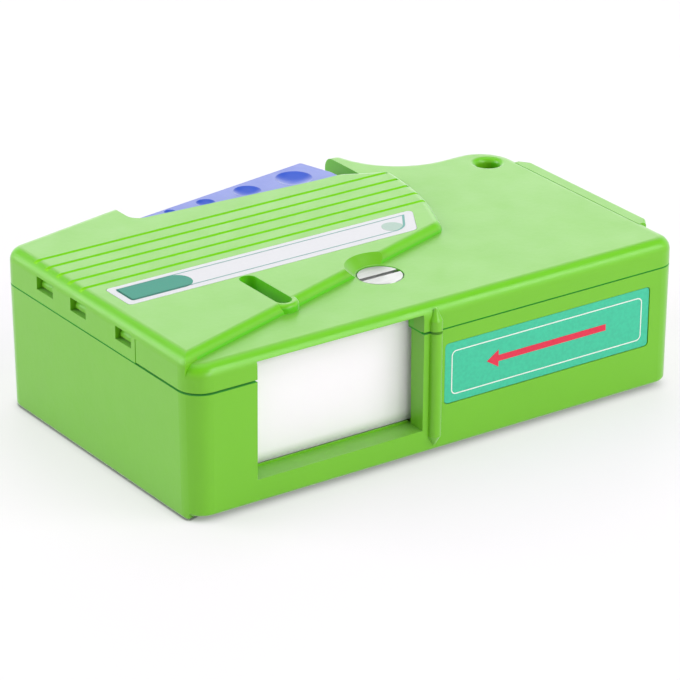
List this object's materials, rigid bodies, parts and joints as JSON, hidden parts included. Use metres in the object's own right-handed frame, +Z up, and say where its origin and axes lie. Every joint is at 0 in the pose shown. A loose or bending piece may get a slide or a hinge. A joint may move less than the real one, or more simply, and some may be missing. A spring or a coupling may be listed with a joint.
{
  "type": "cassette fibre connector cleaner",
  "caption": "Hand-held cassette cleaner for fibre connectors: squeezing the thumb lever winds cleaning tape past a front window, from a supply reel to a ratchet take-up reel.",
  "frame": {"origin": "the middle of the base, below the centre of the bounding box", "axes": "+X along the front wall from the window's end to the label's end, +Y from the front wall with the window to the thumb lever at the back, +Z up through the cover, away from the base"},
  "size_m": [0.12, 0.0814, 0.035],
  "materials": {
    "case_plastic": "moulded, lightly polished",
    "lever_plastic": "moulded, lightly polished",
    "reel_plastic": "moulded, fine matt",
    "pawl_plastic": "moulded acetal, satin",
    "roller_plastic": "moulded acetal, satin",
    "holder_plastic": "moulded, fine matt",
    "pin_steel": "ground",
    "spring_steel": "bright rolled",
    "lock_metal": "turned face",
    "tape_cloth": "fine woven microfibre",
    "pad_rubber": "soft foam rubber",
    "front_label_film": "printed film",
    "top_label_film": "printed film"
  },
  "bodies": {
    "case": {"top_cover": "case_plastic", "bottom_case": "case_plastic", "front_label": "front_label_film", "top_label": "top_label_film", "tape_span": "tape_cloth", "backing_pad": "pad_rubber", "pad_holder": "holder_plastic", "lever_pivot_pin": "pin_steel", "left_guide_pin": "pin_steel", "right_guide_pin": "pin_steel", "back_stop_pin": "pin_steel", "supply_brake": "spring_steel", "lever_spring": "spring_steel", "back_stop_spring": "spring_steel"},
    "lever": {"thumb_lever": "lever_plastic", "drive_pawl_pin": "pin_steel", "drive_pawl_spring": "spring_steel"},
    "drive_pawl": {"drive_pawl": "pawl_plastic"},
    "back_stop": {"back_stop_pawl": "pawl_plastic"},
    "supply": {"supply_reel": "reel_plastic", "supply_roll": "tape_cloth"},
    "takeup": {"takeup_reel": "reel_plastic", "takeup_roll": "tape_cloth"},
    "left_roller": {"left_guide_roller": "roller_plastic"},
    "right_roller": {"right_guide_roller": "roller_plastic"},
    "coin_lock": {"coin_lock": "lock_metal", "lock_clip": "spring_steel"}
  },
  "joints": [
    {"name": "lever_press", "type": "hinge", "parent": "case", "child": "lever", "pos_m": [-0.03545, 0.0287, 0.0175], "axis": [0, 0, -1], "range_deg": [0, 11], "stiffness_Nm_per_rad": 0.5, "springref_deg": -8.59},
    {"name": "drive_pawl_swing", "type": "hinge", "parent": "lever", "child": "drive_pawl", "pos_m": [0.01505, 0.0312, 0.0053], "axis": [0, 0, 1], "range_deg": [0, 3.5], "stiffness_Nm_per_rad": 0.01},
    {"name": "back_stop_swing", "type": "hinge", "parent": "case", "child": "back_stop", "pos_m": [0.03625, -0.0323, 0.0053], "axis": [0, 0, 1], "range_deg": [0, 5], "stiffness_Nm_per_rad": 0.01},
    {"name": "takeup_spin", "type": "hinge", "parent": "case", "child": "takeup", "pos_m": [0.02655, -0.0033, 0.0175], "axis": [0, 0, 1], "continuous": true},
    {"name": "supply_spin", "type": "hinge", "parent": "case", "child": "supply", "pos_m": [-0.02855, -0.0008, 0.0175], "axis": [0, 0, 1], "continuous": true},
    {"name": "left_roller_spin", "type": "hinge", "parent": "case", "child": "left_roller", "pos_m": [-0.05045, -0.03035, 0.0175], "axis": [0, 0, 1], "continuous": true},
    {"name": "right_roller_spin", "type": "hinge", "parent": "case", "child": "right_roller", "pos_m": [0.00005, -0.03035, 0.0175], "axis": [0, 0, 1], "continuous": true},
    {"name": "coin_lock_turn", "type": "hinge", "parent": "case", "child": "coin_lock", "pos_m": [-0.00315, -0.0206, 0.028], "axis": [0, 0, 1], "range_deg": [0, 90]}
  ],
  "couplings": [
    {"joint": "supply_spin", "follows": "takeup_spin", "ratio": 0.6522},
    {"joint": "left_roller_spin", "follows": "takeup_spin", "ratio": 4.487},
    {"joint": "right_roller_spin", "follows": "takeup_spin", "ratio": 4.487}
  ]
}
